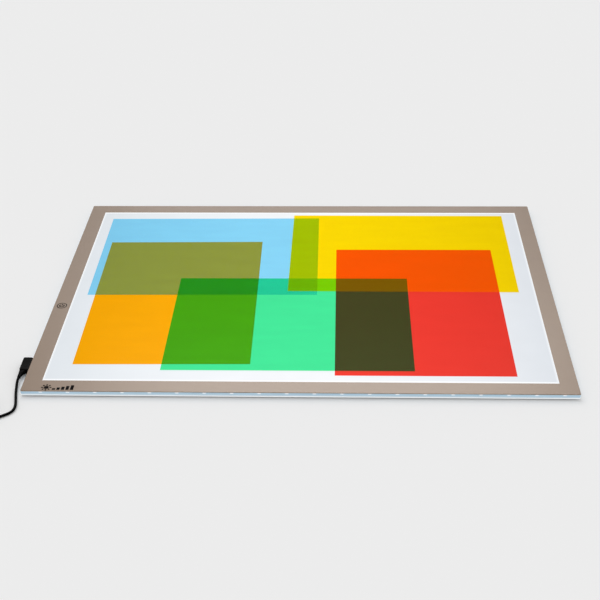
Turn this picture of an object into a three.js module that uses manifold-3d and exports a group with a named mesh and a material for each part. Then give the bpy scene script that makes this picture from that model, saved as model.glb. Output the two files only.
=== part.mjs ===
// A2 light box: a thin edge-lit light panel with its plug-in low-voltage lead and a set of five
// A4 colour films. Millimetres, +Z up, +X along the long side, -Y the front. The origin is on the
// surface that the panel stands on, under the middle of the panel.
import * as THREE from "three";
import { mergeVertices } from "three/addons/utils/BufferGeometryUtils.js";
import Module from "manifold-3d";

const wasm = await Module();
wasm.setup();

// ---- Driving dimensions -------------------------------------------------------------------

const WIDTH = 636; // panel, along X
const DEPTH = 462; // panel, along Y
const HEIGHT = 8; // table to top face
const CORNER = 1.8; // outside corner radius
const BORDER = 21; // opaque margin round the luminous window
const RAIL = 5; // width of the clear edge rails
const GAP = 0.05; // air between stacked layers
const SIDE_GAP = 0.3; // air between neighbours that meet edge to edge

const Z = {
  footTop: 1.8,
  base: [1.85, 3.2],
  rail: [3.25, 7.2],
  reflector: [3.25, 3.45],
  guide: [3.5, 6.5],
  flange: [6.55, 7.2],
  strip: [6.6, 7.2],
  border: [7.25, HEIGHT],
};

const WINDOW = { x: WIDTH - 2 * BORDER, y: DEPTH - 2 * BORDER };
const INNER = { x: WIDTH / 2 - RAIL, y: DEPTH / 2 - RAIL }; // inside faces of the rails
const CHANNEL_RIGHT = -299; // the wiring channel runs along the left rail, up to here

const LED = { count: 20, pitch: 31.3, shift: 2.7, long: 3.6, deep: 1.4, bottom: 4.4 };
const STRIP_WIDE = 3.7; // circuit strip that carries the light sources
const LED_CLEAR = 2.7; // from the rail's inside face to the light guide's edge

const FOOT = { radius: 7, inset: 30 };
const SCREW = { head: 1.9, shank: 1, cone: 1.1, long: 4.2, clearance: 0.1 };
const SCREWS = {
  front: [-300, 0, 300],
  left: [-200, 110],
  right: [-110, 110],
};

const TOUCH = { x: -307.5, y: -47, padRadius: 4.6 };
const BOARD = { x0: -312.4, x1: -300.4, y0: -98, y1: 4, bottom: 3.3, top: 4.1 };

const SOCKET = { y: -167.5, z: 5.22, wide: 9.2, long: 13.4, mouth: [7.6, 2.4, 7] };
const PLUG = {
  shell: [7, 1.8, 5.6], wall: 0.3, body: [11.2, 26.2, 6.4], gap: 0.4, rear: -163, tip: -200.6,
};

const CORD_RADIUS = 1.6;
const COIL = { x: -372, y: -261.2, inner: 11.6, outer: 24.4, bottom: 1.1, layers: 4 };
const TIE = { wide: 6, thick: 0.7, bottom: 0.1, inner: 10.9, outer: 24.7 };
const FAR = { x: -395, z: 4, relief: [-223.7, -212], body: [-211.7, -190], shell: 12 };

// The lead from the plug's strain relief to the coil, then from the coil to the far plug.
const CORD_ROUTE = [
  [-327, -200.9, 5], [-327.3, -205.3, 4.6], [-327, -210.6, 3.5], [-326.1, -218, 2.2],
  [-324.8, -226, 1.7], [-323.1, -233.7, 1.65], [-321.3, -241.3, 1.65], [-319.8, -248.8, 1.65],
  [-319.4, -255.4, 1.65], [-320.5, -260.6, 1.65], [-323.1, -264.5, 1.65], [-326.2, -267.1, 1.65],
  [-329.2, -269.3, 1.65], [-332.3, -271.6, 1.65], [-337, -275.2, 1.65], [-343, -279, 1.7],
  [-350, -281.9, 1.8], [-356.5, -283.4, 2],
];
const TAIL_ROUTE = [
  [-395.2, -247, 10.6], [-395.3, -240, 8], [-395.3, -233, 5.4], [-395.1, -227.5, 4.2],
  [-395, -224, 4],
];

// A4 films, each with its centre, its turn in degrees and the level it lies at.
const FILM = { long: 297, short: 210, thick: 0.2, first: HEIGHT + 0.06, step: 0.27 };
const FILMS = [
  { name: "film_orange", at: [-165, -27.8], turn: 0.64, upright: true, level: 0, colour: 0xffa800 },
  { name: "film_red", at: [146, -48.6], turn: 0.04, upright: true, level: 0, colour: 0xf02a20 },
  { name: "film_blue", at: [-132.3, 85.2], turn: 0.44, upright: false, level: 1, colour: 0x70c8f0 },
  { name: "film_green", at: [-14.6, -83.6], turn: 0.1, upright: false, level: 2, colour: 0x40e898 },
  { name: "film_yellow", at: [127.6, 93.7], turn: -0.2, upright: false, level: 3, colour: 0xf8d800 },
];

// ---- Materials ----------------------------------------------------------------------------

const paint = (color, roughness, metalness = 0, opacity = 1) =>
  new THREE.MeshStandardMaterial({
    color, roughness, metalness, opacity, transparent: opacity < 1,
  });

const LOOK = {
  border: paint(0x9c8d7e, 0.55),
  opal: paint(0xf4f8fb, 0.35),
  clear: paint(0xd4e6ef, 0.08, 0, 0.4),
  guide: paint(0xe8f4fa, 0.05, 0, 0.35),
  white: paint(0xf2f3f3, 0.5),
  rubber: paint(0x1c1c1d, 0.85),
  board: paint(0x2f6b45, 0.5),
  strip: paint(0xe9ebe6, 0.45),
  chip: paint(0x17181a, 0.45),
  connector: paint(0xe6e1cf, 0.5),
  steel: paint(0xb8bbbf, 0.3, 1),
  copper: paint(0xc98a4b, 0.35, 1),
  wire: paint(0x8d1d1a, 0.45),
  plug: paint(0x0f0f10, 0.5),
  cord: paint(0x101011, 0.6),
  tie: paint(0x1a1a1c, 0.8),
};

// ---- Shape helpers ------------------------------------------------------------------------

function box([x0, x1], [y0, y1], [z0, z1]) {
  const shape = new THREE.BoxGeometry(x1 - x0, y1 - y0, z1 - z0);
  return shape.translate((x0 + x1) / 2, (y0 + y1) / 2, (z0 + z1) / 2);
}

// A rectangle whose four corners have radii of their own, anticlockwise from the front left.
function outline([x0, x1], [y0, y1], [a, b, c, d]) {
  const shape = new THREE.Shape();
  shape.moveTo(x0 + a, y0).lineTo(x1 - b, y0);
  if (b) shape.absarc(x1 - b, y0 + b, b, -Math.PI / 2, 0);
  shape.lineTo(x1, y1 - c);
  if (c) shape.absarc(x1 - c, y1 - c, c, 0, Math.PI / 2);
  shape.lineTo(x0 + d, y1);
  if (d) shape.absarc(x0 + d, y1 - d, d, Math.PI / 2, Math.PI);
  shape.lineTo(x0, y0 + a);
  if (a) shape.absarc(x0 + a, y0 + a, a, Math.PI, 1.5 * Math.PI);
  return shape;
}

function slab(shape, [z0, z1]) {
  const options = { depth: z1 - z0, bevelEnabled: false, curveSegments: 5 };
  return new THREE.ExtrudeGeometry(shape, options).translate(0, 0, z0);
}

// Turns an outline of [radius, height] pairs about the vertical through (x, y).
function turned(points, x, y, segments = 24) {
  const profile = points.map(([r, z]) => new THREE.Vector2(r, z));
  const shape = new THREE.LatheGeometry(profile, segments).rotateX(Math.PI / 2);
  return shape.translate(x, y, 0);
}

function solid(geometry) {
  const bare = geometry.clone();
  bare.deleteAttribute("normal");
  bare.deleteAttribute("uv");
  const merged = mergeVertices(bare, 1e-5);
  return new wasm.Manifold(new wasm.Mesh({
    numProp: 3,
    vertProperties: new Float32Array(merged.attributes.position.array),
    triVerts: new Uint32Array(merged.index.array),
  }));
}

function geometryOf(manifold) {
  const mesh = manifold.getMesh();
  const shape = new THREE.BufferGeometry();
  shape.setAttribute("position", new THREE.BufferAttribute(mesh.vertProperties, 3));
  shape.setIndex(new THREE.BufferAttribute(mesh.triVerts, 1));
  shape.computeVertexNormals();
  return shape;
}

const cut = (from, tools) =>
  geometryOf(tools.reduce((whole, tool) => whole.subtract(solid(tool)), solid(from)));

const join = (pieces) =>
  geometryOf(pieces.slice(1).reduce((whole, piece) => whole.add(solid(piece)), solid(pieces[0])));

function tube(points, radius, steps, sides = 8) {
  const curve = new THREE.CatmullRomCurve3(points.map((p) => new THREE.Vector3(...p)));
  const section = new THREE.Shape();
  for (let k = 0; k < sides; k++) {
    const angle = (2 * Math.PI * k) / sides;
    const corner = [radius * Math.cos(angle), radius * Math.sin(angle)];
    if (k) section.lineTo(...corner);
    else section.moveTo(...corner);
  }
  return new THREE.ExtrudeGeometry(section, { steps, extrudePath: curve, bevelEnabled: false });
}

// Joins sections that stand across the Y axis. Each is { x, y, z, a, b, power }: the middle, the
// half width, the half height and how square it is (2 is round).
function loft(sections, sides = 20) {
  const points = [];
  const faces = [];
  const bend = (value, power) => Math.sign(value) * Math.abs(value) ** (2 / power);
  for (const s of sections) {
    for (let k = 0; k < sides; k++) {
      const angle = (2 * Math.PI * (k + 0.5)) / sides;
      points.push(s.x + s.a * bend(Math.cos(angle), s.power), s.y);
      points.push(s.z + s.b * bend(Math.sin(angle), s.power));
    }
  }
  const last = (sections.length - 1) * sides;
  for (let k = 0; k < sides; k++) {
    const next = (k + 1) % sides;
    for (let row = 0; row < last; row += sides) {
      faces.push(row + k, row + sides + k, row + next);
      faces.push(row + next, row + sides + k, row + sides + next);
    }
    if (k > 0 && k < sides - 1) {
      faces.push(0, k, k + 1);
      faces.push(last, last + k + 1, last + k);
    }
  }
  const shape = new THREE.BufferGeometry();
  shape.setAttribute("position", new THREE.Float32BufferAttribute(points, 3));
  shape.setIndex(faces);
  shape.computeVertexNormals();
  return shape;
}

const lightBox = new THREE.Group();

function add(name, geometry, look) {
  const mesh = new THREE.Mesh(geometry, look);
  mesh.name = name;
  lightBox.add(mesh);
  return mesh;
}

// ---- Screws and their holes ---------------------------------------------------------------

const railMiddle = { x: WIDTH / 2 - RAIL / 2, y: DEPTH / 2 - RAIL / 2 };
const screwPlaces = [
  ...SCREWS.front.map((x) => [x, -railMiddle.y]),
  ...SCREWS.front.map((x) => [x, railMiddle.y]),
  ...SCREWS.left.map((y) => [-railMiddle.x, y]),
  ...SCREWS.right.map((y) => [railMiddle.x, y]),
];

function screwBody([x, y], grow) {
  const bottom = Z.base[0] - (grow ? 1 : -GAP);
  const coneTop = Z.base[0] + SCREW.cone + grow / 2;
  const top = Z.base[0] + SCREW.long + 3 * grow;
  return turned([
    [0, bottom], [SCREW.head + grow, bottom], [SCREW.head + grow, Z.base[0] + 0.2 + grow / 2],
    [SCREW.shank + grow, coneTop], [SCREW.shank + grow, top], [0, top],
  ], x, y, 16);
}

function crossSlot([x, y]) {
  const slot = 1.2;
  const half = 0.22;
  const height = [Z.base[0] - 0.5, Z.base[0] + 0.55];
  return [
    box([x - slot, x + slot], [y - half, y + half], height),
    box([x - half, x + half], [y - slot, y + slot], height),
  ];
}

const screwHoles = screwPlaces.map((place) => screwBody(place, SCREW.clearance));

// ---- Enclosure ----------------------------------------------------------------------------

function addEnclosure() {
  const x = [-WIDTH / 2, WIDTH / 2];
  const y = [-DEPTH / 2, DEPTH / 2];
  const all = [CORNER, CORNER, CORNER, CORNER];
  add("base_plate", cut(slab(outline(x, y, all), Z.base), screwHoles), LOOK.white);

  const border = outline(x, y, all);
  const half = { x: WINDOW.x / 2, y: WINDOW.y / 2 };
  border.holes.push(outline([-half.x, half.x], [-half.y, half.y], [0, 0, 0, 0]));
  add("border_overlay", slab(border, Z.border), LOOK.border);

  const side = INNER.y - GAP;
  const rails = {
    edge_rail_front: [x, [y[0], -INNER.y], [CORNER, CORNER, 0, 0]],
    edge_rail_rear: [x, [INNER.y, y[1]], [0, 0, CORNER, CORNER]],
    edge_rail_right: [[INNER.x, x[1]], [-side, side], [0, 0, 0, 0]],
    edge_rail_left_front: [
      [x[0], -INNER.x], [-side, SOCKET.y - SOCKET.wide / 2 - SIDE_GAP], [0, 0, 0, 0],
    ],
    edge_rail_left_rear: [
      [x[0], -INNER.x], [SOCKET.y + SOCKET.wide / 2 + SIDE_GAP, side], [0, 0, 0, 0],
    ],
  };
  for (const [name, [across, along, radii]] of Object.entries(rails)) {
    add(name, cut(slab(outline(across, along, radii), Z.rail), screwHoles), LOOK.clear);
  }
  screwPlaces.forEach((place, k) => {
    const name = `base_screw_${String(k + 1).padStart(2, "0")}`;
    add(name, cut(screwBody(place, 0), crossSlot(place)), LOOK.steel);
  });
}

function addFeet() {
  const across = WIDTH / 2 - FOOT.inset;
  const along = DEPTH / 2 - FOOT.inset;
  const r = FOOT.radius;
  let k = 1;
  for (const y of [-along, along]) {
    for (const x of [-across, 0, across]) {
      const profile = [[0, 0], [r - 1.2, 0], [r - 0.3, 0.5], [r, Z.footTop], [0, Z.footTop]];
      add(`rubber_foot_${k++}`, turned(profile, x, y), LOOK.rubber);
    }
  }
}

// ---- Optics -------------------------------------------------------------------------------

function addOptics() {
  const right = INNER.x - SIDE_GAP;
  const guideY = INNER.y - LED_CLEAR;
  add("reflector_sheet", box([CHANNEL_RIGHT, right], [-guideY, guideY], Z.reflector), LOOK.white);
  add("light_guide", box([CHANNEL_RIGHT, right], [-guideY, guideY], Z.guide), LOOK.guide);

  const flangeY = INNER.y - STRIP_WIDE - 2 * SIDE_GAP;
  const half = { x: WINDOW.x / 2 - 0.1, y: WINDOW.y / 2 - 0.1 };
  add("diffuser", join([
    box([CHANNEL_RIGHT, right], [-flangeY, flangeY], Z.flange),
    box([-half.x, half.x], [-half.y, half.y], [Z.flange[0], HEIGHT]),
  ]), LOOK.opal);

  const first = LED.shift - (LED.pitch * (LED.count - 1)) / 2;
  const stripX = [first - 4, INNER.x - SIDE_GAP];
  for (const [name, side] of [["led_strip_front", -1], ["led_strip_rear", 1]]) {
    const outer = side * (INNER.y - SIDE_GAP);
    const reach = (deep) => [outer, outer - side * deep].sort((a, b) => a - b);
    const pieces = [box(stripX, reach(STRIP_WIDE), Z.strip)];
    for (let k = 0; k < LED.count; k++) {
      const x = first + k * LED.pitch;
      const height = [LED.bottom, Z.strip[0] + 0.1];
      pieces.push(box([x - LED.long / 2, x + LED.long / 2], reach(LED.deep), height));
    }
    add(name, join(pieces), LOOK.strip);
  }
}

// ---- Electronics in the left channel --------------------------------------------------------

class Helix extends THREE.Curve {
  constructor(radius, turns, x, y, z0, z1) {
    super();
    Object.assign(this, { radius, turns, x, y, z0, z1 });
  }

  getPoint(t, target = new THREE.Vector3()) {
    const angle = 2 * Math.PI * this.turns * t;
    return target.set(
      this.x + this.radius * Math.cos(angle),
      this.y + this.radius * Math.sin(angle),
      this.z0 + (this.z1 - this.z0) * t,
    );
  }
}

function addElectronics() {
  const onBoard = BOARD.top + GAP;
  const board = box([BOARD.x0, BOARD.x1], [BOARD.y0, BOARD.y1], [BOARD.bottom, BOARD.top]);
  add("control_board", board, LOOK.board);

  const x = (BOARD.x0 + BOARD.x1) / 2;
  const part = (name, y, wide, long, tall, look) =>
    add(name, box([x - wide / 2, x + wide / 2], [y - long / 2, y + long / 2],
      [onBoard, onBoard + tall]), look);
  part("touch_chip", -58.5, 3.9, 4.9, 1.2, LOOK.chip);
  part("driver_chip", -72, 5, 5, 1, LOOK.chip);
  part("output_capacitor", -26, 3.2, 1.8, 1.5, LOOK.connector);
  part("input_connector", BOARD.y0 + 3.5, 6, 5, 2.4, LOOK.connector);
  part("strip_connector", BOARD.y1 - 3.5, 6, 5, 2.4, LOOK.connector);
  add("boost_inductor", turned([
    [0, onBoard], [2.8, onBoard], [2.8, onBoard + 0.5], [2.2, onBoard + 0.8],
    [2.2, onBoard + 1.8], [2.8, onBoard + 2.1], [2.8, onBoard + 2.5], [0, onBoard + 2.5],
  ], x, -82), LOOK.chip);

  const padTop = Z.border[0] - GAP;
  add("touch_pad", turned([
    [0, padTop - 0.3], [TOUCH.padRadius, padTop - 0.3], [TOUCH.padRadius, padTop], [0, padTop],
  ], TOUCH.x, TOUCH.y), LOOK.copper);
  const wire = 0.2;
  const spring = new Helix(2.4, 3, TOUCH.x, TOUCH.y, onBoard + wire, padTop - 0.35 - wire);
  const section = new THREE.Shape().absarc(0, 0, wire, 0, 2 * Math.PI);
  add("touch_spring", new THREE.ExtrudeGeometry(section, {
    steps: 48, extrudePath: spring, bevelEnabled: false, curveSegments: 3,
  }), LOOK.steel);

  addSocket();
  addWiring(x);
}

// Flexible leads, which lie on the base plate and rise to what they join.
function addWiring(boardMiddle) {
  const radius = 0.7;
  const low = Z.base[1] + radius + 0.25;
  const lead = (name, points, steps) => add(name, tube(points, radius, steps, 6), LOOK.wire);
  const socketBack = -WIDTH / 2 + 0.1 + SOCKET.long + 2 * SIDE_GAP;
  lead("socket_lead", [
    [socketBack, SOCKET.y, 5.2], [socketBack + 1.5, SOCKET.y + 0.4, 5], [-301.9, -158, low],
    [-301.9, -152, low], [-303, -130, low], [-304.6, -112, low], [-305.6, -105, low + 0.1],
    [boardMiddle, BOARD.y0 - 0.4, 5],
  ], 36);

  const stripEnd = LED.shift - (LED.pitch * (LED.count - 1)) / 2 - 4.3;
  const edge = INNER.y - SIDE_GAP - 1.2;
  lead("strip_lead_rear", [
    [boardMiddle, BOARD.y1 + 0.4, 5], [boardMiddle, 12, low + 0.1], [boardMiddle, 19, low],
    [boardMiddle + 1, 110, low], [boardMiddle + 2, edge - 24, low],
    [boardMiddle + 2.6, edge - 15, low + 0.1], [boardMiddle + 5, edge - 2, 5.4],
    [stripEnd, edge, 6.3],
  ], 50);
  lead("strip_lead_front", [
    [-311, BOARD.y0 - 0.4, 5], [-311.4, -106, low + 0.1], [-311.2, -114, low],
    [-310.4, -140, low], [-306, -148, 5], [-301.7, -156, 6.2], [-301.3, -165, 6.3],
    [-301.6, -174, 6], [-303, -184, low + 0.1], [-304, -192, low], [-304, -edge + 10, low],
    [-302, -edge + 2, 5.4], [stripEnd, -edge, 6.3],
  ], 60);
}

function addSocket() {
  const [wide, tall, deep] = SOCKET.mouth;
  const front = -WIDTH / 2 + 0.1;
  const y = [SOCKET.y - SOCKET.wide / 2, SOCKET.y + SOCKET.wide / 2];
  const mouth = box([front - 1, front + deep], [SOCKET.y - wide / 2, SOCKET.y + wide / 2],
    [SOCKET.z - tall / 2, SOCKET.z + tall / 2]);
  const body = box([front, front + SOCKET.long], y, [Z.rail[0], Z.rail[1] - GAP]);
  add("power_socket", cut(body, [mouth]), LOOK.steel);
  const tongue = box([front + 1.4, front + deep - GAP], [SOCKET.y - 2.1, SOCKET.y + 2.1],
    [SOCKET.z - 0.25, SOCKET.z + 0.25]);
  add("socket_tongue", tongue, LOOK.chip);
}

// ---- Lead ---------------------------------------------------------------------------------

function addPlug() {
  const [wide, long, tall] = PLUG.body;
  const near = -WIDTH / 2 - PLUG.gap;
  const x = near - wide / 2;
  const z = HEIGHT / 2 + 1;
  const front = PLUG.rear - long;
  const at = (y, a, b, power = 7) => ({ x, y, z, a, b, power });
  add("plug_body", loft([
    at(front, wide / 2 - 0.7, tall / 2 - 0.7), at(front + 0.8, wide / 2, tall / 2),
    at(PLUG.rear - 0.8, wide / 2, tall / 2), at(PLUG.rear, wide / 2 - 0.7, tall / 2 - 0.7),
  ], 28), LOOK.plug);

  const tip = CORD_ROUTE[0][0];
  add("plug_relief", loft([
    { x: tip, y: PLUG.tip, z, a: 2.1, b: 2.1, power: 2 },
    { x: tip + 0.3, y: PLUG.tip + 2.4, z, a: 2.5, b: 2.4, power: 2.4 },
    { x: x - 1.2, y: front - 2, z, a: 3.5, b: 2.6, power: 4 },
    { x: x - 1.2, y: front - SIDE_GAP, z, a: 3.9, b: 2.7, power: 5 },
  ]), LOOK.plug);

  const [shellWide, shellTall, shellLong] = PLUG.shell;
  const span = (size, middle) => [middle - size / 2, middle + size / 2];
  const inner = (size) => size - 2 * PLUG.wall;
  const shell = box([near + 0.1, near + shellLong], span(shellWide, SOCKET.y),
    span(shellTall, SOCKET.z));
  const hollow = box([near + 1.2, near + shellLong + 1], span(inner(shellWide), SOCKET.y),
    span(inner(shellTall), SOCKET.z));
  add("plug_shell", cut(shell, [hollow]), LOOK.steel);
}

function addCord() {
  add("cord", tube(CORD_ROUTE, CORD_RADIUS, 30), LOOK.cord);
  add("cord_tail", tube(TAIL_ROUTE, CORD_RADIUS, 8), LOOK.cord);

  const top = COIL.bottom + 2 * CORD_RADIUS * COIL.layers;
  const round = 1.2;
  add("cord_coil", turned([
    [COIL.inner + round, COIL.bottom], [COIL.outer - round, COIL.bottom],
    [COIL.outer, COIL.bottom + round], [COIL.outer, top - round], [COIL.outer - round, top],
    [COIL.inner + round, top], [COIL.inner, top - round], [COIL.inner, COIL.bottom + round],
    [COIL.inner + round, COIL.bottom],
  ], COIL.x, COIL.y, 40), LOOK.cord);

  const x = [COIL.x - TIE.wide / 2, COIL.x + TIE.wide / 2];
  const tieTop = top + COIL.bottom - TIE.bottom;
  const outside = box(x, [COIL.y + TIE.inner - TIE.thick, COIL.y + TIE.outer + TIE.thick],
    [TIE.bottom, tieTop]);
  const inside = box([x[0] - 1, x[1] + 1], [COIL.y + TIE.inner, COIL.y + TIE.outer],
    [TIE.bottom + TIE.thick, tieTop - TIE.thick]);
  add("cord_tie", cut(outside, [inside]), LOOK.tie);
}

function addFarPlug() {
  const at = (y, a, b, power = 6) => ({ x: FAR.x, y, z: FAR.z, a, b, power });
  const [reliefStart, reliefEnd] = FAR.relief;
  add("far_relief", loft([
    at(reliefStart, 2.2, 2.2, 2), at(reliefStart + 4, 2.6, 2.6, 2), at(reliefEnd, 3.3, 3.1, 3),
  ]), LOOK.plug);
  const [start, end] = FAR.body;
  add("far_body", loft([
    at(start, 5.6, 3), at(start + 1.6, 7.6, 3.8), at(end - 0.8, 7.8, 3.9), at(end, 7.2, 3.3),
  ], 28), LOOK.plug);

  const [wide, tall, wall] = [12, 4.5, 0.4];
  const span = (half, middle) => [middle - half, middle + half];
  const shellEnd = end + FAR.shell;
  const shell = box(span(wide / 2, FAR.x), [end + 0.1, shellEnd], span(tall / 2, FAR.z));
  const hollow = box(span(wide / 2 - wall, FAR.x), [end + 1, shellEnd + 1],
    span(tall / 2 - wall, FAR.z));
  add("far_shell", cut(shell, [hollow]), LOOK.steel);
  add("far_tongue", box(span(wide / 2 - wall - 0.2, FAR.x), [end + 1.1, shellEnd - 0.4],
    [FAR.z - tall / 2 + wall + 0.1, FAR.z]), LOOK.chip);
}

// ---- Films --------------------------------------------------------------------------------

function addFilms() {
  for (const film of FILMS) {
    const [across, along] = film.upright ? [FILM.short, FILM.long] : [FILM.long, FILM.short];
    const sheet = new THREE.BoxGeometry(across, along, FILM.thick);
    const mesh = add(film.name, sheet, paint(film.colour, 0.15, 0, 0.6));
    const z = FILM.first + film.level * FILM.step + FILM.thick / 2;
    mesh.position.set(film.at[0], film.at[1], z);
    mesh.rotation.z = THREE.MathUtils.degToRad(film.turn);
  }
}

addEnclosure();
addFeet();
addOptics();
addElectronics();
addPlug();
addCord();
addFarPlug();
addFilms();

export default lightBox;
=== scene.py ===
"""The looks of an A2 light box with five loose colour films and its plug-in lead.

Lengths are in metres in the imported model's frame: +X along the long side, -Y the front, +Z up,
with the origin on the table under the middle of the panel.
"""

import math

import bmesh
import bpy
from mathutils import Matrix, Vector, noise


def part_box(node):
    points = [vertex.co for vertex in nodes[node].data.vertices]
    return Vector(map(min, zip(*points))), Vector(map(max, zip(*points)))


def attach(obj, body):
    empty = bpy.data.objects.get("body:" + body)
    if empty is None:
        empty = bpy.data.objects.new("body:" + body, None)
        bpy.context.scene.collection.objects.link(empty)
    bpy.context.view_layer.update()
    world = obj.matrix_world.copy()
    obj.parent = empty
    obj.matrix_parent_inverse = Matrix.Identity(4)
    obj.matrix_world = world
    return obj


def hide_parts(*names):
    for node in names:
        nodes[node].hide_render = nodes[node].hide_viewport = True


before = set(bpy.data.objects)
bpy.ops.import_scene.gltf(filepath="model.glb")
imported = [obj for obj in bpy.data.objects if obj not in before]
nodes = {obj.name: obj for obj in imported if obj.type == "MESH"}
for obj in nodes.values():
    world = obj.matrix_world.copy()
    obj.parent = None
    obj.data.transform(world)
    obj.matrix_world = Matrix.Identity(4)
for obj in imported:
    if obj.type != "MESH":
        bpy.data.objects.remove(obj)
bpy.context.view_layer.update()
MM = 0.001

# ---- Camera and stage -----------------------------------------------------------------------


CAMERA_LENS = 70.3  # mm, on a sensor 36 mm wide
CAMERA_PLACE = (0.05073, -1.30348, 0.79372)
CAMERA_TURN = (2.49, 58.326, -1.085)  # yaw, tilt and roll, in degrees


def make_camera():
    data = bpy.data.cameras.new("camera")
    data.sensor_width = 36
    data.lens = CAMERA_LENS
    camera = bpy.data.objects.new("camera", data)
    bpy.context.scene.collection.objects.link(camera)
    yaw, tilt, roll = (math.radians(angle) for angle in CAMERA_TURN)
    turn = (
        Matrix.Rotation(yaw, 4, "Z")
        @ Matrix.Rotation(tilt, 4, "X")
        @ Matrix.Rotation(roll, 4, "Z")
    )
    camera.matrix_world = Matrix.Translation(CAMERA_PLACE) @ turn
    bpy.context.scene.camera = camera


def aim(obj, target):
    direction = Vector(target) - obj.location
    obj.rotation_euler = direction.to_track_quat("-Z", "Y").to_euler()


def make_light(name, kind, place, target, power):
    data = bpy.data.lights.new(name, kind)
    data.energy = power
    light = bpy.data.objects.new(name, data)
    light.location = place
    bpy.context.scene.collection.objects.link(light)
    aim(light, target)
    return light


def make_softbox(name, place, target, size, power):
    """A soft light for reflections alone, so that the floor stays evenly lit."""
    light = make_light(name, "AREA", place, target, power)
    light.data.shape = "RECTANGLE"
    light.data.size, light.data.size_y = size
    light.visible_diffuse = False


WORLD = 0.718  # brightness of the white surroundings
FLOOR = 0.90  # how much the paper floor reflects
SUN = 0.85  # watts to a square metre
REAR_SOFTBOX = 37  # watts; it shines in the front border
LOW_SOFTBOX = 3.6  # it shines in the rear border


def make_stage():
    scene = bpy.context.scene
    scene.view_settings.view_transform = "Standard"
    world = bpy.data.worlds.new("studio")
    world.use_nodes = True
    background = world.node_tree.nodes["Background"]
    background.inputs["Color"].default_value = (1, 1, 1, 1)
    background.inputs["Strength"].default_value = WORLD
    scene.world = world

    mesh = bpy.data.meshes.new("floor")
    far = 30  # metres, well past what the camera sees
    corners = [(-far, -far, 0), (far, -far, 0), (far, far, 0), (-far, far, 0)]
    mesh.from_pydata(corners, [], [(0, 1, 2, 3)])
    floor = bpy.data.objects.new("floor", mesh)
    scene.collection.objects.link(floor)
    surface = Material("floor_paper")
    shader = surface.principled(1.0, 0.0)
    shader.inputs["Base Color"].default_value = (FLOOR, FLOOR, FLOOR, 1)
    mesh.materials.append(surface.made)

    sun = make_light("sun", "SUN", (-0.4, 0.9, 1.3), (0, 0, 0), SUN)
    sun.data.angle = math.radians(50)
    make_softbox("rear_softbox", (0.05, 1.5, 1.42), (0.04, -0.2, 0), (1.5, 0.42), REAR_SOFTBOX)
    make_softbox("low_softbox", (-0.02, 1.75, 0.5), (0, 0.2, 0), (1.15, 0.3), LOW_SOFTBOX)


# ---- Materials ------------------------------------------------------------------------------


def linear(*rgb):
    """An sRGB colour, 0 to 255, as the linear colour with alpha that a socket takes."""
    bent = [c / 255 / 12.92 if c <= 10.3 else ((c / 255 + 0.055) / 1.055) ** 2.4 for c in rgb]
    return (*bent, 1.0)


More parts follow.
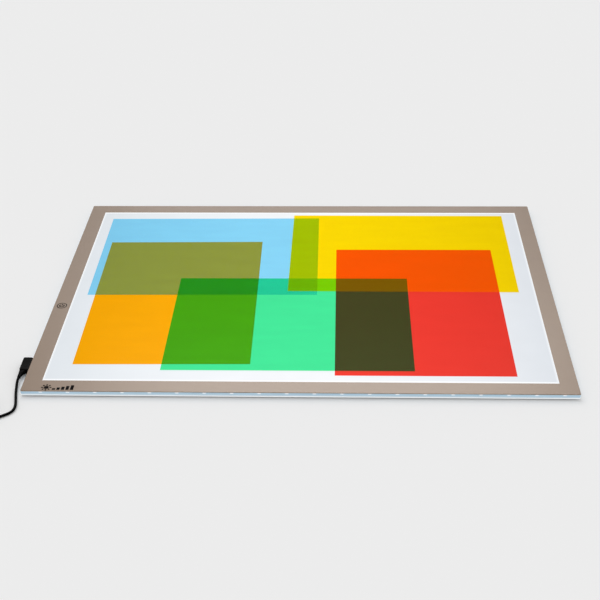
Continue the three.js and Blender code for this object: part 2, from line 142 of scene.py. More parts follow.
class Material:
    """A node material whose patterns are in the model's own space."""

    def __init__(self, name):
        self.made = bpy.data.materials.new(name)
        self.made.use_nodes = True
        self.tree = self.made.node_tree
        self.tree.nodes.clear()
        self.output = self.add("ShaderNodeOutputMaterial")
        self.place = self.add("ShaderNodeTexCoord").outputs["Object"]

    def add(self, kind, **settings):
        node = self.tree.nodes.new(kind)
        for key, value in settings.items():
            setattr(node, key, value)
        return node

    def link(self, source, target):
        self.tree.links.new(source, target)

    def surface(self, shader):
        self.link(shader.outputs[0], self.output.inputs["Surface"])

    def principled(self, roughness, specular, metallic=0.0, shown=True):
        shader = self.add("ShaderNodeBsdfPrincipled")
        shader.inputs["Roughness"].default_value = roughness
        shader.inputs["Specular IOR Level"].default_value = specular
        shader.inputs["Metallic"].default_value = metallic
        if shown:
            self.surface(shader)
        return shader

    def noise(self, scale, detail, stretch=(1, 1, 1)):
        source = self.place
        if stretch != (1, 1, 1):
            mapping = self.add("ShaderNodeMapping")
            mapping.inputs["Scale"].default_value = stretch
            self.link(source, mapping.inputs["Vector"])
            source = mapping.outputs["Vector"]
        made = self.add("ShaderNodeTexNoise")
        made.inputs["Scale"].default_value = scale
        made.inputs["Detail"].default_value = detail
        self.link(source, made.inputs["Vector"])
        return made.outputs["Fac"]

    def voronoi(self, scale):
        made = self.add("ShaderNodeTexVoronoi")
        made.inputs["Scale"].default_value = scale
        self.link(self.place, made.inputs["Vector"])
        return made.outputs["Distance"]

    def ramp(self, value, stops):
        made = self.add("ShaderNodeValToRGB")
        elements = made.color_ramp.elements
        while len(elements) < len(stops):
            elements.new(0.5)
        for element, (at, colour) in zip(elements, stops):
            element.position = at
            element.color = colour if len(colour) == 4 else (*colour, 1)
        self.link(value, made.inputs["Fac"])
        return made.outputs["Color"]

    def spread(self, value, low, high, low_in=0.0, high_in=1.0):
        made = self.add("ShaderNodeMapRange")
        for key, number in zip(
            ("From Min", "From Max", "To Min", "To Max"), (low_in, high_in, low, high)
        ):
            made.inputs[key].default_value = number
        self.link(value, made.inputs["Value"])
        return made.outputs["Result"]

    def maths(self, operation, a, b=None):
        made = self.add("ShaderNodeMath", operation=operation)
        for socket, value in zip(made.inputs, (a, b)):
            if isinstance(value, (int, float)):
                socket.default_value = value
            elif value is not None:
                self.link(value, socket)
        return made.outputs[0]

    def mix_colour(self, factor, a, b, blend="MIX"):
        made = self.add("ShaderNodeMix", data_type="RGBA", blend_type=blend)
        for key, value in (("Factor", factor), ("A", a), ("B", b)):
            socket = next(s for s in made.inputs if s.name == key and s.enabled)
            if isinstance(value, (int, float, tuple)):
                socket.default_value = value
            else:
                self.link(value, socket)
        return next(s for s in made.outputs if s.enabled)

    def axis(self, name):
        made = self.add("ShaderNodeSeparateXYZ")
        self.link(self.place, made.inputs[0])
        return made.outputs[name]

    def bump(self, shader, height, distance, strength=1.0):
        made = self.add("ShaderNodeBump")
        made.inputs["Distance"].default_value = distance
        made.inputs["Strength"].default_value = strength
        self.link(height, made.inputs["Height"])
        self.link(made.outputs["Normal"], shader.inputs["Normal"])


def moulded(name, colour, roughness, change, grain=2600, depth=0.00002, specular=0.5):
    """Moulded plastic or rubber: a little uneven in colour and gloss, with a fine grain."""
    look = Material(name)
    shader = look.principled(roughness, specular)
    cloud = look.noise(60, 4)
    darker = tuple(c * (1 - change) for c in colour[:3])
    lighter = tuple(min(1, c * (1 + change)) for c in colour[:3])
    look.link(look.ramp(cloud, [(0.3, darker), (0.7, lighter)]), shader.inputs["Base Color"])
    look.link(
        look.spread(look.noise(300, 2), roughness - 0.06, roughness + 0.06),
        shader.inputs["Roughness"],
    )
    look.bump(shader, look.noise(grain, 2), depth)
    return look.made


def taupe_print():
    look = Material("taupe_print")
    shader = look.principled(0.37, 0.35)
    shader.inputs["Specular Tint"].default_value = (1.0, 0.86, 0.74, 1)
    base = linear(114, 92, 72)
    darker = tuple(c * 0.975 for c in base[:3])
    lighter = tuple(c * 1.02 for c in base[:3])
    look.link(
        look.ramp(look.noise(45, 5), [(0.3, darker), (0.7, lighter)]), shader.inputs["Base Color"]
    )
    look.link(look.spread(look.noise(400, 3), 0.34, 0.40), shader.inputs["Roughness"])
    look.bump(shader, look.noise(3200, 2), 0.000012)
    return look.made


HALF_WINDOW = (0.297, 0.210)
GLOW = 0.945  # the window's emission strength


def opal_window():
    """Lit from inside: dimmer towards both ends, with a bright line along the print's edge."""
    look = Material("opal_window")
    shader = look.principled(0.35, 0.05)
    shader.inputs["Base Color"].default_value = linear(60, 61, 63)
    half_x, half_y = HALF_WINDOW
    across = look.spread(look.axis("X"), 0.0, 1.0, -half_x, half_x)
    along = look.spread(look.axis("Y"), 0.0, 1.0, -half_y, half_y)
    side = look.ramp(across, [
        (0.0, (0.715, 0.755, 0.795)), (0.16, (0.785, 0.822, 0.856)), (0.36, (0.85, 0.875, 0.905)),
        (0.6, (0.865, 0.885, 0.91)), (0.8, (0.79, 0.815, 0.85)), (1.0, (0.695, 0.73, 0.775)),
    ])
    depth = look.ramp(along, [(0.0, (1.0,) * 3), (0.6, (0.985,) * 3), (1.0, (0.97,) * 3)])
    glow = look.mix_colour(1.0, side, depth, "MULTIPLY")
    speck = look.ramp(look.noise(35, 4), [(0.3, (0.988,) * 3), (0.7, (1.01,) * 3)])
    glow = look.mix_colour(1.0, glow, speck, "MULTIPLY")
    rim = look.maths(
        "MAXIMUM",
        look.spread(look.maths("ABSOLUTE", look.axis("X")), 0.0, 0.7, half_x - 0.003, half_x),
        look.spread(look.maths("ABSOLUTE", look.axis("Y")), 0.0, 1.0, half_y - 0.004, half_y),
    )
    glow = look.mix_colour(rim, glow, (1.04, 1.05, 1.06, 1.0))
    look.link(glow, shader.inputs["Emission Color"])
    shader.inputs["Emission Strength"].default_value = GLOW
    look.bump(shader, look.noise(2500, 2), 0.000006)
    return look.made


def film_look(name, passes, own, body, painted_glow):
    """A dyed film. Light crosses two faces, so each passes the root of what the film passes, and
    a little of the daylight scatters back in the film's own colour. The film also has a painted
    glow in its own colour, though it is no lamp."""
    look = Material(name)
    root = tuple(min(1.0, c**0.5 / (1 - body)) for c in passes)
    streaks = look.noise(14, 5, stretch=(1, 5, 1))
    pale = tuple(min(1.0, c * 1.008 + 0.001) for c in root)
    deep = tuple(c * 0.992 for c in root)
    clear = look.add("ShaderNodeBsdfTransparent")
    look.link(look.ramp(streaks, [(0.3, deep), (0.7, pale)]), clear.inputs["Color"])
    gloss = look.principled(0.2, 0.12, shown=False)
    speckle = look.ramp(look.noise(220, 3), [
        (0.3, tuple(c * 0.96 for c in own)), (0.7, tuple(min(1.0, c * 1.04) for c in own)),
    ])
    look.link(speckle, gloss.inputs["Base Color"])
    # Painted glow: the film emits light in its own colour, though it is no lamp.
    look.link(speckle, gloss.inputs["Emission Color"])
    gloss.inputs["Emission Strength"].default_value = painted_glow
    look.link(look.spread(look.noise(500, 3), 0.14, 0.3), gloss.inputs["Roughness"])
    scratches = look.noise(160, 6, stretch=(1, 12, 1))
    look.bump(gloss, scratches, 0.00002, 0.3)
    both = look.add("ShaderNodeMixShader")
    both.inputs["Fac"].default_value = body
    look.link(clear.outputs[0], both.inputs[1])
    look.link(gloss.outputs[0], both.inputs[2])
    look.surface(both)
    return look.made


LED_PITCH = 0.0313
LED_SHIFT = 0.0027  # x of a point halfway between two spots
SPOT_CORE, SPOT_RIM = 0.035, 0.085  # where a spot starts to fade and where it ends, in pitches


def lit_edge(name, spots):
    """Clear acrylic that leaks the panel's light, with a bright spot at each light source."""
    look = Material(name)
    shader = look.principled(0.1, 0.5)
    shader.inputs["Base Color"].default_value = (0.10, 0.125, 0.14, 1)
    low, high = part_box("edge_rail_front")
    height = look.spread(look.axis("Z"), 0.0, 1.0, low[2], high[2])
    # Painted light: the glow changes with height, palest at the top and darkest and bluest a little
    # above the middle.
    glow = look.ramp(height, [
        (0.0, linear(166, 184, 198)), (0.3, linear(186, 208, 221)), (0.6, linear(146, 178, 200)),
        (0.85, linear(160, 190, 208)), (1.0, linear(206, 224, 235)),
    ])
    cloud = look.noise(90, 3, stretch=(0.5, 0.5, 4))
    cloud = look.ramp(cloud, [(0.3, (0.93,) * 3), (0.7, (1.05,) * 3)])
    glow = look.mix_colour(1.0, glow, cloud, "MULTIPLY")
    if spots:
        shifted = look.maths("SUBTRACT", look.axis("X"), LED_SHIFT)
        pitches = look.maths("MULTIPLY", shifted, 1 / LED_PITCH)
        whole = 100.0  # whole pitches, added so that FRACT never sees a negative number
        away = look.maths("SUBTRACT", look.maths("FRACT", look.maths("ADD", pitches, whole)), 0.5)
        spot = look.spread(look.maths("ABSOLUTE", away), 1.0, 0.0, SPOT_CORE, SPOT_RIM)
        upper = look.spread(height, 0.0, 1.0, 0.55, 0.8)
        glow = look.mix_colour(look.maths("MULTIPLY", spot, upper), glow, (0.93, 0.96, 0.98, 1.0))
    look.link(glow, shader.inputs["Emission Color"])
    shader.inputs["Emission Strength"].default_value = 0.84
    look.link(look.spread(look.noise(250, 3), 0.06, 0.16), shader.inputs["Roughness"])
    return look.made


def brushed_metal(name, colour, roughness):
    look = Material(name)
    shader = look.principled(roughness, 0.5, 1.0)
    fine = look.noise(900, 4)
    darker = tuple(c * 0.88 for c in colour[:3])
    look.link(look.ramp(fine, [(0.3, darker), (0.7, colour)]), shader.inputs["Base Color"])
    look.link(look.spread(fine, roughness - 0.08, roughness + 0.1), shader.inputs["Roughness"])
    look.bump(shader, fine, 0.00001)
    return look.made


def glowing(name, colour, strength):
    look = Material(name)
    shader = look.principled(0.5, 0.2)
    shader.inputs["Base Color"].default_value = (0.8, 0.8, 0.8, 1)
    patch = look.ramp(look.noise(400, 2), [(0.2, tuple(c * 0.9 for c in colour)), (0.8, colour)])
    look.link(patch, shader.inputs["Emission Color"])
    shader.inputs["Emission Strength"].default_value = strength
    return look.made


def reflector():
    look = Material("reflector_film")
    shader = look.principled(0.4, 0.4)
    cells = look.voronoi(900)
    look.link(
        look.ramp(cells, [(0.1, (0.9, 0.92, 0.93)), (0.5, (0.97, 0.98, 0.98))]),
        shader.inputs["Base Color"],
    )
    # Painted glow: the sheet emits light, standing in for the LED light it sends back.
    shader.inputs["Emission Color"].default_value = (0.93, 0.97, 1, 1)
    shader.inputs["Emission Strength"].default_value = 0.5
    return look.made


def dotted_guide():
    look = Material("dotted_light_guide")
    shader = look.principled(0.1, 0.5)
    shader.inputs["Base Color"].default_value = (0.92, 0.96, 0.98, 1)
    dots = look.ramp(look.voronoi(700), [(0.25, (1, 1, 1)), (0.35, (0.62, 0.7, 0.75))])
    # Painted glow: the guide emits light, whitest on its dots, standing in for the LED light it
    # carries.
    look.link(dots, shader.inputs["Emission Color"])
    shader.inputs["Emission Strength"].default_value = 0.6
    return look.made


def circuit_board():
    look = Material("circuit_board")
    shader = look.principled(0.35, 0.5)
    tracks = look.add("ShaderNodeTexBrick")
    tracks.inputs["Scale"].default_value = 420
    tracks.inputs["Mortar Size"].default_value = 0.03
    tracks.inputs["Color1"].default_value = linear(24, 92, 52)
    tracks.inputs["Color2"].default_value = linear(30, 104, 60)
    tracks.inputs["Mortar"].default_value = linear(60, 132, 84)
    look.link(look.place, tracks.inputs["Vector"])
    look.link(tracks.outputs["Color"], shader.inputs["Base Color"])
    look.bump(shader, tracks.outputs["Fac"], 0.00003)
    return look.made


def white_plate():
    """The plate's upright edge has a painted glow, standing in for the light guide's light that
    reaches it.
    """
    look = Material("white_plate")
    shader = look.principled(0.5, 0.4)
    base = linear(240, 241, 241)
    darker = tuple(c * 0.965 for c in base[:3])
    look.link(
        look.ramp(look.noise(30, 5), [(0.3, darker), (0.7, base)]), shader.inputs["Base Color"]
    )
    look.link(look.spread(look.noise(500, 2), 0.45, 0.6), shader.inputs["Roughness"])
    look.bump(shader, look.noise(1500, 3), 0.00003)
    # Painted glow: only the upright faces emit a pale blue light.
    upright = look.add("ShaderNodeSeparateXYZ")
    look.link(look.add("ShaderNodeNewGeometry").outputs["Normal"], upright.inputs[0])
    side = look.spread(look.maths("ABSOLUTE", upright.outputs["Z"]), 1.0, 0.0, 0.1, 0.4)
    look.link(
        look.mix_colour(side, (0.0, 0.0, 0.0, 1.0), (0.86, 0.96, 1.0, 1.0)),
        shader.inputs["Emission Color"],
    )
    shader.inputs["Emission Strength"].default_value = 0.3
    return look.made


def woven_strap():
    look = Material("woven_strap")
    shader = look.principled(0.85, 0.2)
    loops = look.voronoi(2200)
    look.link(
        look.ramp(loops, [(0.1, (0.03, 0.03, 0.032)), (0.6, (0.012, 0.012, 0.013))]),
        shader.inputs["Base Color"],
    )
    look.bump(shader, loops, 0.0002)
    return look.made


# ---- Mesh helpers ---------------------------------------------------------------------------


BROAD_FACE = 1.5e-4  # square metres


def piece(name, mesh, look, body, replaced=(), smooth=None):
    obj = bpy.data.objects.new(name, mesh)
    bpy.context.scene.collection.objects.link(obj)
    mesh.materials.append(look)
    if smooth is not None:
        for face in mesh.polygons:  # broad faces and end caps stay flat
            face.use_smooth = len(face.vertices) == 4 and face.area < BROAD_FACE
        obj.modifiers.new("edges", "EDGE_SPLIT").split_angle = math.radians(smooth)
    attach(obj, body)
    if replaced:
        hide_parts(*replaced)
    return obj


def mesh_of(name, points, faces):
    mesh = bpy.data.meshes.new(name)
    mesh.from_pydata([tuple(p) for p in points], [], faces)
    mesh.validate()
    mesh.update()
    return mesh


def corner_arc(x, y, radius, start, steps):
    if radius == 0:
        return [(x, y)]
    angles = [start + math.pi / 2 * k / steps for k in range(steps + 1)]
    return [(x + radius * math.cos(a), y + radius * math.sin(a)) for a in angles]


def outline(low, high, radii, steps=10):
    """A rectangle with its own radius at each corner, anticlockwise from the front left."""
    (x0, y0), (x1, y1) = low, high
    a, b, c, d = radii
    return (
        corner_arc(x0 + a, y0 + a, a, math.pi, steps)
        + corner_arc(x1 - b, y0 + b, b, 1.5 * math.pi, steps)
        + corner_arc(x1 - c, y1 - c, c, 0, steps)
        + corner_arc(x0 + d, y1 - d, d, 0.5 * math.pi, steps)
    )


def bridge(first, second, count):
    return [
        (first + k, first + (k + 1) % count, second + (k + 1) % count, second + k)
        for k in range(count)
    ]


def slab(name, low, high, radii, edge):
    """A plate between two corners, with rounded corners in plan and softened edges."""
    steps = 3
    levels = []
    for k in range(steps + 1):
        angle = math.pi / 2 * k / steps
        levels.append((edge * (1 - math.sin(angle)), low[2] + edge * (1 - math.cos(angle))))
    levels += [(inset, low[2] + high[2] - z) for inset, z in reversed(levels)]
    points, count = [], 0
    for inset, z in levels:
        flat = outline(
            (low[0] + inset, low[1] + inset),
            (high[0] - inset, high[1] - inset),
            [max(r - inset, 0) if r else 0 for r in radii],
        )
        count = len(flat)
        points += [(x, y, z) for x, y in flat]
    faces = [tuple(reversed(range(count)))]
    for k in range(len(levels) - 1):
        faces += bridge(k * count, (k + 1) * count, count)
    last = (len(levels) - 1) * count
    faces.append(tuple(range(last, last + count)))
    return mesh_of(name, points, faces)


def section(x, y, z, a, b, power, count):
    """Points on a squared circle that stands across the Y axis."""
    ring = []
    for k in range(count):
        angle = 2 * math.pi * (k + 0.5) / count
        c, s = math.cos(angle), math.sin(angle)
        ring.append(
            (
                x + a * math.copysign(abs(c) ** (2 / power), c),
                y,
                z + b * math.copysign(abs(s) ** (2 / power), s),
            )
        )
    return ring


def loft(name, sections, count):
    """Joins squared circles given in mm as (x, y, z, half width, half height, power)."""
    points = []
    for x, y, z, a, b, power in sections:
        points += section(x * MM, y * MM, z * MM, a * MM, b * MM, power, count)
    faces = [tuple(range(count))]
    for k in range(len(sections) - 1):
        faces += [tuple(reversed(f)) for f in bridge(k * count, (k + 1) * count, count)]
    last = (len(sections) - 1) * count
    faces.append(tuple(reversed(range(last, last + count))))
    mesh = mesh_of(name, points, faces)
    return outward(mesh)


def outward(mesh):
    work = bmesh.new()
    work.from_mesh(mesh)
    bmesh.ops.recalc_face_normals(work, faces=work.faces)
    work.to_mesh(mesh)
    work.free()
    return mesh


def turned(name, profile, x, y):
    """Turns (radius, height) pairs in mm about the vertical through (x, y), in metres."""
    count = 48
    points, faces = [], []
    for r, z in profile:
        for k in range(count):
            angle = 2 * math.pi * k / count
            points.append((x + r * MM * math.cos(angle), y + r * MM * math.sin(angle), z * MM))
    faces.append(tuple(reversed(range(count))))
    for k in range(len(profile) - 1):
        faces += bridge(k * count, (k + 1) * count, count)
    last = (len(profile) - 1) * count
    faces.append(tuple(range(last, last + count)))
    return outward(mesh_of(name, points, faces))


# ---- Lead: route, coil, plugs ---------------------------------------------------------------

CORD_D = 3.2
CORD_ROUTE = [
    (-327, -200.9, 5), (-327.3, -205.3, 4.6), (-327, -210.6, 3.5), (-326.1, -218, 2.2),
    (-324.8, -226, 1.7), (-323.1, -233.7, 1.65), (-321.3, -241.3, 1.65), (-319.8, -248.8, 1.65),
    (-319.4, -255.4, 1.65), (-320.5, -260.6, 1.65), (-323.1, -264.5, 1.65), (-326.2, -267.1, 1.65),
    (-329.2, -269.3, 1.65), (-332.3, -271.6, 1.65), (-337, -275.2, 1.65), (-343, -279, 1.7),
    (-350, -281.9, 1.8), (-356.5, -283.4, 2),
]
TAIL_ROUTE = [
    (-395.2, -247, 10.6), (-395.3, -240, 8), (-395.3, -233, 5.4), (-395.1, -227.5, 4.2),
    (-395, -224, 4),
]
COIL = {"x": -372, "y": -261.2, "bottom": 1.1, "small": 13.2, "large": 22.8}
COIL_LAYERS = [(0, 2.5), (1, 2.5), (2, 2.5), (3, 2.25)]  # level, turns
COIL_STEPS = 18  # points to a turn
COIL_ENTRY = (-363, -284.05, 2.35)
COIL_EXIT = (-395.1, -254, 11.9)


def coil_points():
    """Layers that run in and out by turns, each laid on the one below, wound clockwise."""
    points, angle = [], 1.5 * math.pi
    for level, turns in COIL_LAYERS:
        z = COIL["bottom"] + CORD_D * (level + 0.5)
        start, end = COIL["large"], COIL["small"]
        if level % 2:
            start, end = end, start
        steps = round(turns * COIL_STEPS)
        for k in range(steps + 1):
            r = start + (end - start) * k / steps
            points.append((r, angle, z))
            if k < steps:
                angle -= 2 * math.pi / COIL_STEPS
        if level < COIL_LAYERS[-1][0]:
            rise = COIL_STEPS // 2
            for k in range(1, rise):
                angle -= 2 * math.pi / COIL_STEPS
                part = k / rise
                points.append((end, angle, z + CORD_D * part * part * (3 - 2 * part)))
            angle -= 2 * math.pi / COIL_STEPS
    return [
        (COIL["x"] + r * math.cos(a), COIL["y"] + r * math.sin(a), z) for r, a, z in points
    ]


def make_cord():
    route = CORD_ROUTE + [COIL_ENTRY] + coil_points() + [COIL_EXIT] + TAIL_ROUTE
    curve = bpy.data.curves.new("lead_cord", "CURVE")
    curve.dimensions = "3D"
    curve.bevel_depth = CORD_D / 2 * MM
    curve.bevel_resolution = 4
    curve.resolution_u = 5
    curve.use_fill_caps = True
    spline = curve.splines.new("BEZIER")
    spline.bezier_points.add(len(route) - 1)
    for point, place in zip(spline.bezier_points, route):
        point.co = Vector(place) * MM
        point.handle_left_type = point.handle_right_type = "AUTO"
    cord = bpy.data.objects.new("lead_cord", curve)
    bpy.context.scene.collection.objects.link(cord)
    jacket = moulded("cord_jacket", (0.002, 0.002, 0.0022), 0.5, 0.2, 1800, 0.00004, 0.015)
    curve.materials.append(jacket)
    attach(cord, "lead")
    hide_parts("cord", "cord_tail", "cord_coil")


def make_plug(black):
    """A body with rounded ends and a sunk grip, then a grooved sleeve that tapers to the cord."""
    x, z = -324.0, 5.0
    half_wide, half_tall, power = 5.6, 3.2, 7
    rear, front = -163.0, -189.2
    narrower = 0.4  # at the front end, on the side away from the panel
    body = []
    for inset, y in ((0.9, rear), (0.35, rear - 0.25), (0.0, rear - 0.9)):
        body.append((x, y, z, half_wide - inset, half_tall - inset, power))
    grip = [(-171, 0.0), (-172, 0.15), (-185, 0.15), (-186, 0.0)]
    body += [(x, y, z, half_wide, half_tall - sink, power) for y, sink in grip]
    for inset, y in ((0.0, front + 0.9), (0.3, front + 0.3), (0.8, front)):
        body.append((x + narrower, y, z, half_wide - narrower - inset, half_tall - inset, power))
    made = [piece("plug_shell_moulding", loft("plug_shell_moulding", body, 64), black, "lead",
                  ["plug_body"], 40)]
    tip = CORD_ROUTE[0][0]
    shift = 1.2  # how far the sleeve starts from the body's middle
    wide, tall, thin = 3.9, 2.7, 2.1  # half sizes where it starts, and its radius at the tip
    relief, steps, long = [], 36, 11.1
    for k in range(steps + 1):
        part = k / steps
        y = front - 0.3 - part * long
        ease = 1 - (1 - part) ** 2
        groove = 0.0
        if 0.3 < part < 0.95:
            groove = 0.2 * (0.5 - 0.5 * math.cos((part - 0.3) / 0.65 * 6 * math.pi))
        across = wide + (thin - wide) * ease - groove
        high = tall + (thin - tall) * ease - groove
        middle = x - shift + (tip - x + shift) * ease
        relief.append((middle, y, z, across, high, 4.5 - 2.4 * ease))
    made.append(piece("plug_strain_relief", loft("plug_strain_relief", relief, 40), black, "lead",
                      ["plug_relief"], 50))
    return made


def make_far_plug(black):
    x, z = -395.0, 4.0
    body = [(x, -211.7, z, 4.2, 2.4, 5), (x, -211.3, z, 5.2, 2.9, 5), (x, -210.2, z, 7.0, 3.5, 6),
            (x, -208.6, z, 7.7, 3.85, 6), (x, -204, z, 7.8, 3.9, 6.5), (x, -203.4, z, 7.5, 3.7, 6.5),
            (x, -198.6, z, 7.5, 3.7, 6.5), (x, -198, z, 7.8, 3.9, 6.5), (x, -191, z, 7.8, 3.9, 6.5),
            (x, -190.3, z, 7.5, 3.6, 6.5), (x, -190, z, 7.0, 3.1, 6.5)]
    made = [piece("far_plug_moulding", loft("far_plug_moulding", body, 64), black, "lead",
                  ["far_body"], 40)]
    relief, steps = [], 30
    for k in range(steps + 1):
        part = k / steps
        groove = 0.25 * (0.5 - 0.5 * math.cos(part * 8 * math.pi))
        relief.append((x, -223.7 + 11.7 * part, z, 2.15 + 1.15 * part - groove,
                       2.15 + 0.95 * part - groove, 2 + part))
    made.append(piece("far_strain_relief", loft("far_strain_relief", relief, 32), black, "lead",
                      ["far_relief"], 50))
    return made


def make_tie():
    """A hook-and-loop strap round the coil's turns."""
    (x0, y0, z0), (x1, y1, z1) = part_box("cord_tie")
    radius, thick = 2.2 * MM, 0.6 * MM
    outer, inner = (
        outline((y0 + inset, z0 + inset), (y1 - inset, z1 - inset), [radius - inset * 0.6] * 4, 6)
        for inset in (0.0, thick)
    )
    count = len(outer)
    points = [(x0, y, z) for y, z in outer] + [(x1, y, z) for y, z in outer]
    points += [(x0, y, z) for y, z in inner] + [(x1, y, z) for y, z in inner]
    faces = bridge(0, count, count) + bridge(3 * count, 2 * count, count)
    faces += bridge(2 * count, 0, count) + bridge(count, 3 * count, count)
    strap = outward(mesh_of("coil_tie", points, faces))
    return piece("coil_tie", strap, woven_strap(), "lead", ["cord_tie"], 40)


# ---- Panel ----------------------------------------------------------------------------------

CORNER = 1.8 * MM


def make_border(look):
    low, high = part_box("border_overlay")
    half_x, half_y = HALF_WINDOW
    edge = 0.15 * MM
    z0, z1 = low[2], high[2]
    steps = 10
    rings = []
    for inset, z in ((0, z0), (0, z1 - edge), (edge * 0.3, z1 - edge * 0.3), (edge, z1)):
        flat = outline((low[0] + inset, low[1] + inset), (high[0] - inset, high[1] - inset),
                       [CORNER - inset] * 4, steps)
        rings.append([(x, y, z) for x, y in flat])
    count = len(rings[0])
    per = count // 4
    window = [(-half_x, -half_y), (half_x, -half_y), (half_x, half_y), (-half_x, half_y)]
    points = [p for ring in rings for p in ring]
    points += [(x, y, z) for z in (z1, z0) for x, y in window]
    faces = []
    for k in range(len(rings) - 1):
        faces += bridge(k * count, (k + 1) * count, count)
    top, bottom = (len(rings) - 1) * count, 0
    inner_top, inner_bottom = len(rings) * count, len(rings) * count + 4
    for side in range(4):
        following = (side + 1) % 4
        last = side * per + per - 1
        first = (following * per) % count
        for base, inside, flip in ((top, inner_top, False), (bottom, inner_bottom, True)):
            fan = [base + side * per + k for k in range(per)]
            faces.append(tuple(fan + [inside + side]))
            faces.append((base + last, base + first, inside + following, inside + side))
        faces.append((inner_top + side, inner_top + following, inner_bottom + following,
                      inner_bottom + side))
    mesh = outward(mesh_of("border_print", points, faces))
    return piece("border_print", mesh, look, "panel", ["border_overlay"], 30)


def make_rails():
    ends = lit_edge("lit_edge_with_spots", True)
    sides = lit_edge("lit_edge", False)
    radii = {
        "edge_rail_front": (CORNER, CORNER, 0, 0),
        "edge_rail_rear": (0, 0, CORNER, CORNER),
    }
    for node in sorted(n for n in nodes if n.startswith("edge_rail")):
        low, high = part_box(node)
        mesh = slab(f"{node}_clear", low, high, radii.get(node, (0, 0, 0, 0)), 0.25 * MM)
        look = ends if node in radii else sides
        piece(f"{node}_clear", outward(mesh), look, "panel", [node], 35)


def make_feet(look):
    for node in sorted(n for n in nodes if n.startswith("rubber_foot")):
        low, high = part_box(node)
        x, y = (low[0] + high[0]) / 2, (low[1] + high[1]) / 2
        profile = [(0.05, 0.25), (3.6, 0.25), (4.1, 0.0), (5.6, 0.0), (6.2, 0.12), (6.6, 0.45),
                   (6.85, 1.0), (7.0, 1.75), (0.05, 1.8)]
        mesh = turned(f"{node}_pad", profile, x, y)
        piece(f"{node}_pad", mesh, look, "panel", [node], 50)


# Middle in mm, turn in degrees, size in mm, then what it passes, its own colour, how cloudy it
# is and how strong its painted glow is.
FILMS = {
    "film_orange": (
        (-165, -27.8), 0.64, (210, 297), (1.0, 0.43, 0.0), (1.0, 0.34, 0.0), 0.03, 1.8
    ),
    "film_red": (
        (146, -48.6), 0.04, (210, 297), (0.95, 0.044, 0.034), (0.5, 0.2, 0.02), 0.03, 0.4
    ),
    "film_blue": (
        (-132.3, 85.2), 0.44, (297, 210), (0.295, 0.735, 0.97), (0.18, 0.2, 0.85), 0.03, 0.0
    ),
    "film_green": (
        (-14.6, -83.6), 0.1, (297, 210), (0.074, 0.86, 0.36), (0.0, 0.3, 0.1), 0.02, 0.4
    ),
    "film_yellow": (
        (127.6, 93.7), -0.2, (297, 210), (0.97, 0.70, 0.0), (0.80, 0.38, 0.0), 0.03, 1.9
    ),
}


FILM_GRID = (36, 28)
WAVES = 14  # scale of the noise that makes a film slightly wavy, to a metre
WAVE_DEPTH = 0.035 * MM


def make_films():
    for node, (middle, turn, (wide, deep), passes, own, body, painted_glow) in FILMS.items():
        low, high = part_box(node)
        grid_x, grid_y = FILM_GRID
        spin = Matrix.Rotation(math.radians(turn), 4, "Z")
        points, faces = [], []
        seed = len(node)
        for top in (False, True):
            z = high[2] if top else low[2]
            for j in range(grid_y + 1):
                for i in range(grid_x + 1):
                    x = (i / grid_x - 0.5) * wide * MM
                    y = (j / grid_y - 0.5) * deep * MM
                    place = spin @ Vector((x, y, 0))
                    wave = noise.noise(Vector((x * WAVES + seed, y * WAVES, seed * 3))) * WAVE_DEPTH
                    points.append((place.x + middle[0] * MM, place.y + middle[1] * MM, z + wave))
        row = grid_x + 1
        size = row * (grid_y + 1)
        for j in range(grid_y):
            for i in range(grid_x):
                a = j * row + i
                faces.append((a, a + row, a + row + 1, a + 1))
                faces.append((size + a, size + a + 1, size + a + row + 1, size + a + row))
        rim = [i for i in range(row)] + [(j + 1) * row - 1 for j in range(1, grid_y + 1)]
        rim += [grid_y * row + i for i in range(grid_x - 1, -1, -1)]
        rim += [j * row for j in range(grid_y - 1, 0, -1)]
        for k, a in enumerate(rim):
            b = rim[(k + 1) % len(rim)]
            faces.append((a, b, size + b, size + a))
        mesh = outward(mesh_of(f"{node}_sheet", points, faces))
        colour = node.split("_")[1]
        piece(f"{node}_sheet", mesh, film_look(f"{colour}_dye", passes, own, body, painted_glow),
              f"{colour}_film", [node], 40)


INK = 0.04  # how thick the print is, in mm


def ring_mesh(name, x, y, z, inner, outer, start=0.0, end=2 * math.pi):
    """A flat printed ring or arc, in mm."""
    count = 64
    closed = abs(end - start - 2 * math.pi) < 1e-6
    steps = count if closed else count + 1
    points = []
    for r, height in ((inner, z), (outer, z), (outer, z + INK), (inner, z + INK)):
        for k in range(steps):
            angle = start + (end - start) * k / count
            points.append(((x + r * math.cos(angle)) * MM, (y + r * math.sin(angle)) * MM,
                           height * MM))
    faces = []
    for k in range(steps if closed else steps - 1):
        following = (k + 1) % steps
        for a, b in ((0, 1), (1, 2), (2, 3), (3, 0)):
            faces.append((a * steps + k, b * steps + k, b * steps + following,
                          a * steps + following))
    if not closed:
        for k in (0, steps - 1):
            faces.append(tuple(a * steps + k for a in range(4)))
    return outward(mesh_of(name, points, faces))


def bar_mesh(name, x, y, z, wide, deep, turn=0.0):
    """A flat printed bar, in mm, turned about its middle."""
    spin = Matrix.Rotation(turn, 4, "Z")
    points = []
    for height in (z, z + INK):
        for dx, dy in ((-1, -1), (1, -1), (1, 1), (-1, 1)):
            place = spin @ Vector((dx * wide / 2, dy * deep / 2, 0))
            points.append(((x + place.x) * MM, (y + place.y) * MM, height * MM))
    faces = [(3, 2, 1, 0), (4, 5, 6, 7)] + bridge(0, 4, 4)
    return outward(mesh_of(name, points, faces))


def joined(name, meshes):
    work = bmesh.new()
    for mesh in meshes:
        work.from_mesh(mesh)
    made = bpy.data.meshes.new(name)
    work.to_mesh(made)
    work.free()
    return made


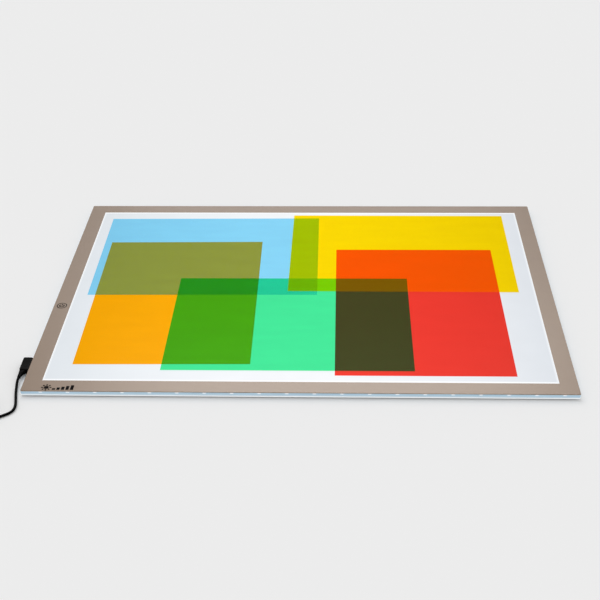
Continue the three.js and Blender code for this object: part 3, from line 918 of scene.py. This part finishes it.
def make_marks(ink):
    """The printed switch symbol, and a plain brightness symbol near the front left corner."""
    top = 8.0
    x, y = -307.8, -47.1
    gap = math.radians(34)
    switch = [
        ring_mesh("switch_ring", x, y, top, 5.4, 6.5),
        ring_mesh("switch_arc", x, y - 0.3, top, 2.1, 3.5, math.pi / 2 + gap, 2.5 * math.pi - gap),
        bar_mesh("switch_bar", x, y + 2.2, top, 1.3, 3.8),
    ]
    piece("switch_symbol", joined("switch_symbol", switch), ink, "panel")
    x, y = -289.2, -224.0
    sun = [ring_mesh("sun_disc", x, y, top, 0.1, 2.9)]
    away = 4.8  # from the sun's middle to a ray's
    for k in range(8):
        angle = math.pi / 4 * k
        ray_x, ray_y = x + away * math.cos(angle), y + away * math.sin(angle)
        sun.append(bar_mesh("sun_ray", ray_x, ray_y, top, 2.4, 1.8, angle))
    for k in range(5):
        tall = 3.0 + 1.5 * k
        sun.append(bar_mesh("level_bar", x + 9.0 + k * 5.2, y - 4.5 + tall / 2, top, 3.7, tall))
    piece("level_symbol", joined("level_symbol", sun), ink, "panel")


# ---- Carried-over CAD nodes -----------------------------------------------------------------


def dress(look, *names):
    for name in names:
        slots = nodes[name].data.materials
        slots.clear()
        slots.append(look)


def dress_nodes():
    screw = brushed_metal("plated_steel", linear(188, 190, 194), 0.3)
    black = moulded("moulded_black", linear(26, 26, 28), 0.5, 0.1)
    dress(opal_window(), "diffuser")
    dress(white_plate(), "base_plate")
    dress(reflector(), "reflector_sheet")
    dress(dotted_guide(), "light_guide")
    dress(glowing("strip_board", (0.95, 0.97, 1.0), 1.2), "led_strip_front", "led_strip_rear")
    dress(circuit_board(), "control_board")
    dress(black, "driver_chip", "touch_chip", "boost_inductor", "socket_tongue", "far_tongue")
    dress(moulded("nylon", linear(228, 222, 202), 0.4, 0.04), "input_connector",
          "strip_connector", "output_capacitor")
    dress(brushed_metal("copper_foil", linear(205, 140, 92), 0.35), "touch_pad")
    dress(screw, "touch_spring", "power_socket", "plug_shell", "far_shell",
          *[n for n in nodes if n.startswith("base_screw")])
    dress(moulded("wire_sleeve", linear(150, 30, 26), 0.4, 0.08), "socket_lead",
          "strip_lead_front", "strip_lead_rear")


def main():
    make_camera()
    plug_black = moulded("plug_plastic", (0.0022, 0.002, 0.002), 0.45, 0.2, 3000, 0.00005, 0.015)
    on_cord = make_plug(plug_black) + make_far_plug(plug_black) + [make_tie()]
    on_cord += [nodes["plug_shell"], nodes["far_shell"], nodes["far_tongue"]]
    make_cord()
    make_stage()
    dress_nodes()
    make_border(taupe_print())
    make_rails()
    make_feet(moulded("rubber", linear(38, 38, 39), 0.8, 0.1, 1500, 0.00006, 0.3))
    make_films()
    make_marks(moulded("dark_ink", linear(12, 8, 7), 0.5, 0.05, specular=0.01))


main()
